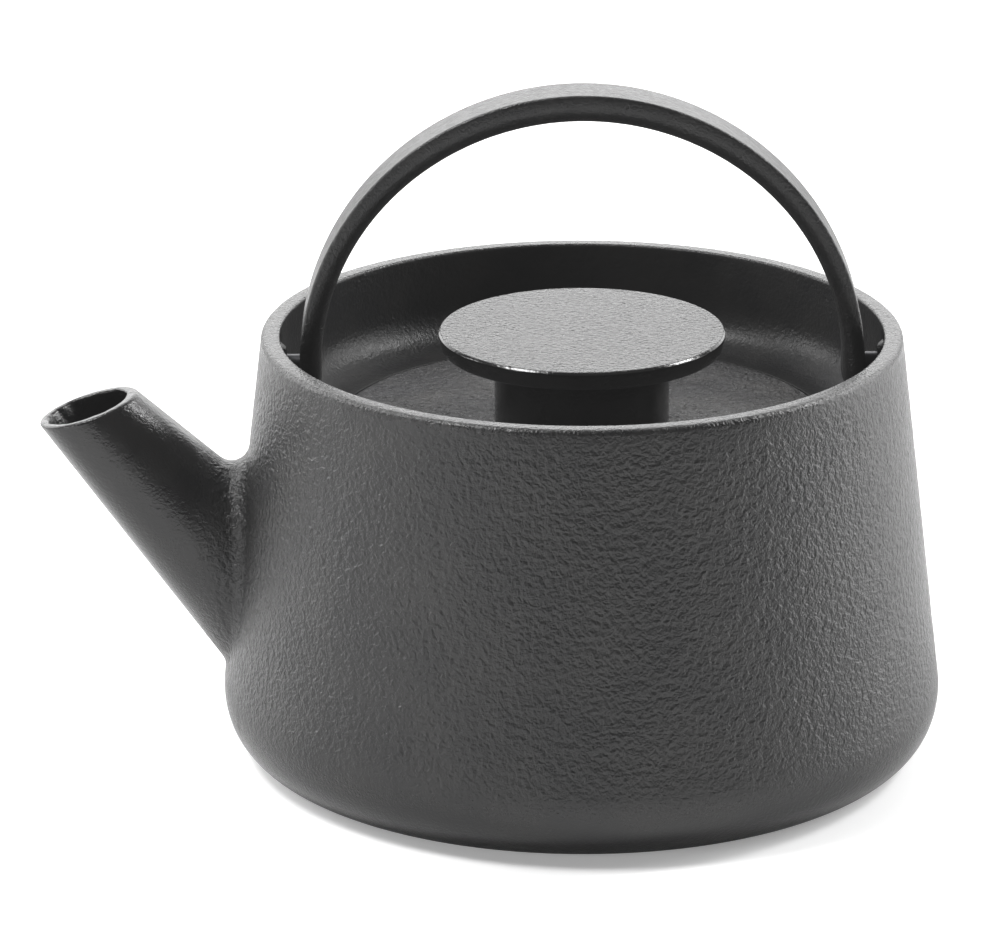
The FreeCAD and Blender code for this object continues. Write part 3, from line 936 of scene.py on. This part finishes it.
IRON_DARK = (0.011, 0.011, 0.0115)
IRON_PALE = (0.017, 0.0166, 0.0164)
IRON_WORN = (0.040, 0.0385, 0.037)
WRINKLE_SIZE = 1.25
PEBBLE_SIZE = 0.6
DUST_SIZE = 0.3
PIT_SPACING = 3.4
PATCH_SIZE = 14.0
WEAR_SIZE = 2.0
SHEEN_SIZE = 1.6
SKIN_PATCH_SIZE = 8.0
STREAK_SIZE = 0.35
STEEL_PATCH_SIZE = 6.0
PAPER_TOOTH_SIZE = 0.8


def cast_iron(name, fade, grain, wrinkle, roughness, size=1.0, greyness=1.0, shine=0.5, smooth_share=0.68):
    """Black seasoned cast iron.

    fade(nodes) gives the share of the wrinkles at each point, grain and wrinkle are relief depths in
    millimetres, and smooth_share is what remains of the roughness where the wrinkles have faded.
    """
    nodes = Nodes(name)
    wrinkles = nodes.noise(WRINKLE_SIZE * size, distortion=0.25)
    pebbles = nodes.noise(PEBBLE_SIZE * size, distortion=0.1)
    dust = nodes.noise(DUST_SIZE, roughness=0.6)
    pits = nodes.ramp(nodes.cells(PIT_SPACING), 0.06, 0.17)
    amount = fade(nodes)
    fine_amount = nodes.ramp(amount, 0.05, 0.2, 0.10, 1.0)
    normal = nodes.bump(nodes.faded(wrinkles, 0.5, amount), wrinkle)
    normal = nodes.bump(nodes.faded(pebbles, 0.5, fine_amount), grain, normal)
    normal = nodes.bump(nodes.faded(dust, 0.5, fine_amount), grain * 0.25, normal)
    normal = nodes.bump(nodes.faded(pits, 1.0, fine_amount), grain * 0.4, normal)
    nodes.set("Normal", normal)
    patches = nodes.ramp(nodes.noise(PATCH_SIZE, detail=3.0), 0.3, 0.7)
    dark, pale = Vector(IRON_DARK) * greyness, Vector(IRON_PALE) * greyness
    base = nodes.blend_colours(patches, tuple(dark), tuple(pale))
    worn = nodes.ramp(nodes.edges(), 0.55, 0.68)
    worn = nodes.math("MULTIPLY", worn, nodes.ramp(nodes.noise(WEAR_SIZE, detail=4.0), 0.35, 0.65))
    nodes.set("Base Color", nodes.blend_colours(worn, base, IRON_WORN))
    sheen = nodes.noise(SHEEN_SIZE, detail=4.0, roughness=0.6)
    sheen = nodes.ramp(sheen, 0.3, 0.7, roughness - 0.04, roughness + 0.05)
    gloss = nodes.ramp(amount, 0.0, 0.6, smooth_share, 1.0)
    nodes.set("Roughness", nodes.math("MULTIPLY", sheen, gloss))
    nodes.set("Specular IOR Level", shine)
    return nodes.material


def side_fade(nodes):
    """Wrinkles fade towards the foot's smooth band, the rim and the spout."""
    height = nodes.height()
    foot = nodes.ramp(height, *FOOT_FADE, 0.12, 1.0)
    rim = nodes.ramp(height, *RIM_FADE, 1.0, 0.3)
    spout = nodes.ramp(nodes.along_x(), *SPOUT_FADE, 0.12, 1.0)
    return nodes.math("MULTIPLY", nodes.math("MULTIPLY", foot, rim), spout)


def top_face_fade(top):
    """Full grain on a flat top face at a height, next to none on what lies below it."""
    return lambda nodes: nodes.ramp(nodes.height(), top - 0.12, top - 0.06, 0.06, 1.0)


def even_skin(nodes):
    """A skin without a fade, in patches somewhat weaker than on the pot's side."""
    return nodes.ramp(nodes.noise(SKIN_PATCH_SIZE), 0.3, 0.7, 0.5, 0.9)


def steel(name, tint, roughness, grain):
    """Bare or blackened steel with fine brushed streaks."""
    nodes = Nodes(name)
    streaks = nodes.noise(STREAK_SIZE)
    nodes.set("Metallic", 1.0)
    darker = tuple(c * 0.8 for c in tint)
    patches = nodes.ramp(nodes.noise(STEEL_PATCH_SIZE, detail=3.0), 0.3, 0.7)
    nodes.set("Base Color", nodes.blend_colours(patches, darker, tint))
    nodes.set("Roughness", nodes.ramp(streaks, 0.3, 0.7, roughness - 0.06, roughness + 0.08))
    nodes.set("Normal", nodes.bump(streaks, grain))
    return nodes.material


def floor_material():
    """Matt white paper with a faint tooth, lifted towards white for the camera, most of all far off."""
    nodes = Nodes("white_paper")
    tooth = nodes.noise(PAPER_TOOTH_SIZE, detail=3.0)
    nodes.set("Base Color", nodes.blend_colours(tooth, (0.90, 0.90, 0.90), (0.93, 0.93, 0.93)))
    nodes.set("Roughness", 0.95)
    nodes.set("Specular IOR Level", 0.1)
    nodes.set("Normal", nodes.bump(tooth, 0.01))
    path = nodes.tree.nodes.new("ShaderNodeLightPath")
    lift = nodes.ramp(nodes.from_axis(), *FLOOR_LIFT_GROWS, FLOOR_LIFT, 1.0)
    nodes.set("Emission Color", (1, 1, 1, 1))
    nodes.set("Emission Strength", nodes.math("MULTIPLY", path.outputs["Is Camera Ray"], lift))
    return nodes.material


def paint(piece, material):
    piece.data.materials.clear()
    piece.data.materials.append(material)


def paint_inside(pot, material):
    """Gives the recess, the seats and the tea space the duller inside iron, whose weak reflection is painted
    shade on the ledge, up to the rim's inner edge.
    """
    pot.data.materials.append(material)
    for face in pot.data.polygons:
        x, y, z = face.center / MM
        r = math.hypot(x, y)
        wall = RIM_RADIUS - LIP_WIDTH if z > SHELF_UNDERSIDE else side_radius(z) - WALL
        outward = (face.normal.x * x + face.normal.y * y) / max(r, 1.0)
        if FLOOR - 0.1 < z and r < wall + 0.1 and (face.normal.z > 0.1 or outward < 0.05):
            face.material_index = 1


# ---- Stage, light and camera ----

CAMERA_DISTANCE = 1.4
CAMERA_ELEVATION = math.radians(18.71)
CAMERA_AZIMUTH = math.radians(-1.26)
CAMERA_LENS = 231.4
CAMERA_ROLL = math.radians(-0.11)
LOOK_HEIGHT = 0.060
AIM_LEFT = 0.0169
AIM_UP = 0.0032
WORLD_FRONT = 0.06
WORLD_BACK = 3.4
HORIZON_SHARE = 0.4
WORLD_TURN = (0.25, 0.95)
HORIZON_BAND = (0.0, 0.15)
FLOOR_REACH = 3000
FLOOR_POINTS = 13
FLOOR_LIFT = 0.27
FLOOR_LIFT_GROWS = (250.0, 900.0)
BLACK_LIFT = 0.010


def make_floor():
    builder = Builder()
    steps = np.linspace(-FLOOR_REACH, FLOOR_REACH, FLOOR_POINTS)
    for y in steps:
        builder.ring([(x, y, 0) for x in steps])
    n = len(steps)
    for j in range(n - 1):
        for i in range(n - 1):
            k = j * n + i
            builder.faces.append((k, k + 1, k + n + 1, k + n))
    floor = builder.mesh("floor")
    if floor.data.polygons[0].normal.z < 0:
        floor.data.flip_normals()
    paint(floor, floor_material())


# Name, place and size in metres, and power in watts. All face the pot.
SOFTBOXES = [
    ("softbox_right", (0.95, 0.25, 0.40), (0.6, 0.9), 9.0),
    ("softbox_left", (-0.95, 0.35, 0.45), (0.35, 0.6), 6.0),
    ("softbox_front_left", (-1.0, -0.7, 0.3), (0.2, 0.45), 2.6),
    ("softbox_top_left", (-0.60, -0.12, 1.1), (0.35, 0.35), 11.0),
    ("softbox_top_right", (0.85, 0.26, 0.92), (0.25, 0.25), 6.5),
]


def make_lights():
    for name, place, size, power in SOFTBOXES:
        data = bpy.data.lights.new(name, "AREA")
        data.shape = "RECTANGLE"
        data.size, data.size_y = size
        data.energy = power
        light = bpy.data.objects.new(name, data)
        light.location = place
        facing = Vector((0, 0, LOOK_HEIGHT)) - light.location
        light.rotation_euler = facing.to_track_quat("-Z", "Y").to_euler()
        bpy.context.scene.collection.objects.link(light)


def make_world():
    """White to the camera; as a light, bright behind the pot and dark on the camera's side."""
    world = bpy.data.worlds.new("studio")
    world.use_nodes = True
    tree = world.node_tree
    tree.nodes.clear()
    place = tree.nodes.new("ShaderNodeTexCoord")
    parts = tree.nodes.new("ShaderNodeSeparateXYZ")
    tree.links.new(place.outputs["Generated"], parts.inputs[0])
    depth = smooth_ramp(tree, parts.outputs["Y"], *WORLD_TURN, WORLD_FRONT, WORLD_BACK)
    rise = smooth_ramp(tree, parts.outputs["Z"], *HORIZON_BAND, HORIZON_SHARE, 1.0)
    strength = tree.nodes.new("ShaderNodeMath")
    strength.operation = "MULTIPLY"
    tree.links.new(depth, strength.inputs[0])
    tree.links.new(rise, strength.inputs[1])
    lit, seen = tree.nodes.new("ShaderNodeBackground"), tree.nodes.new("ShaderNodeBackground")
    tree.links.new(strength.outputs[0], lit.inputs["Strength"])
    for background in (lit, seen):
        background.inputs["Color"].default_value = (1, 1, 1, 1)
    path = tree.nodes.new("ShaderNodeLightPath")
    mix = tree.nodes.new("ShaderNodeMixShader")
    output = tree.nodes.new("ShaderNodeOutputWorld")
    tree.links.new(path.outputs["Is Camera Ray"], mix.inputs["Fac"])
    tree.links.new(lit.outputs[0], mix.inputs[1])
    tree.links.new(seen.outputs[0], mix.inputs[2])
    tree.links.new(mix.outputs[0], output.inputs["Surface"])
    bpy.context.scene.world = world


def make_camera():
    data = bpy.data.cameras.new("camera")
    data.lens = CAMERA_LENS
    data.sensor_width = 36.0
    data.clip_start, data.clip_end = 0.05, 20
    camera = bpy.data.objects.new("camera", data)
    level = Vector((math.sin(CAMERA_AZIMUTH), -math.cos(CAMERA_AZIMUTH), 0)) * math.cos(CAMERA_ELEVATION)
    back = level + Vector((0, 0, math.sin(CAMERA_ELEVATION)))
    facing = back.to_track_quat("Z", "Y")
    right, up = facing @ Vector((1, 0, 0)), facing @ Vector((0, 1, 0))
    look = Vector((0, 0, LOOK_HEIGHT))
    camera.location = look + back * CAMERA_DISTANCE
    aim = look - right * AIM_LEFT + up * AIM_UP
    facing = (camera.location - aim).to_track_quat("Z", "Y")
    camera.rotation_mode = "QUATERNION"
    camera.rotation_quaternion = facing @ Quaternion((0, 0, 1), CAMERA_ROLL)
    bpy.context.scene.collection.objects.link(camera)
    bpy.context.scene.camera = camera


# ---- Assembly ----


def place_castings():
    pot_iron = cast_iron("cast_iron_side", side_fade, grain=0.18, wrinkle=0.62, roughness=0.33)
    lid_iron = cast_iron("cast_iron_lid", top_face_fade(LEDGE_HEIGHT), grain=0.80, wrinkle=0.60,
                         roughness=0.24, size=1.8, greyness=5.0)
    knob_iron = cast_iron("cast_iron_knob", top_face_fade(KNOB_TOP), grain=0.66, wrinkle=0.10,
                          roughness=0.25, size=1.5, smooth_share=0.4)
    strap_iron = cast_iron("cast_iron_strap", even_skin, grain=0.14, wrinkle=0.08, roughness=0.33)
    # Painted shade: the inside iron reflects less (shine 0.2) so the recess ledge reads darker, and its base
    # colour is a little greyer so the walls keep their brightness.
    shaded_inside_iron = cast_iron("cast_iron_inside", even_skin, grain=0.12, wrinkle=0.10, roughness=0.36,
                            size=1.3, greyness=1.2, shine=0.2)
    pot = make_pot()
    castings = [
        (pot, "pot", "pot_body", pot_iron),
        (make_handle(), "bail", "handle", strap_iron),
        (make_lid(), "lid", "lid_plate", lid_iron),
        (make_knob(), "lid", "lid_knob", knob_iron),
        (make_pivot_pad("pivot_pad_spout_side", -1), "pot", None, shaded_inside_iron),
        (make_pivot_pad("pivot_pad_rear", 1), "pot", None, shaded_inside_iron),
    ]
    for piece, body, node, material in castings:
        paint(piece, material)
        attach(piece, body)
        if node:
            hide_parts(node)
    paint_inside(pot, shaded_inside_iron)


def paint_steel_parts():
    pin_steel = steel("blackened_steel", (0.10, 0.10, 0.105), roughness=0.38, grain=0.01)
    screw_steel = steel("machined_steel", (0.58, 0.58, 0.59), roughness=0.30, grain=0.01)
    basket_steel = steel("stainless_sheet", (0.60, 0.60, 0.61), roughness=0.30, grain=0.002)
    finishes = {
        "handle_pin_spout_side": pin_steel,
        "handle_pin_rear": pin_steel,
        "knob_washer": screw_steel,
        "knob_screw": screw_steel,
        "infuser_collar": basket_steel,
        "infuser_sleeve": basket_steel,
        "infuser_cup": basket_steel,
    }
    for node, material in finishes.items():
        paint(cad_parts[node], material)


def set_display():
    """Plain display colours, with black lifted a little."""
    display = bpy.context.scene.view_settings
    display.view_transform = "Standard"
    display.use_curve_mapping = True
    display.curve_mapping.black_level = (-BLACK_LIFT, -BLACK_LIFT, -BLACK_LIFT)
    display.curve_mapping.update()


place_castings()
paint_steel_parts()
make_floor()
make_lights()
make_world()
make_camera()
set_display()
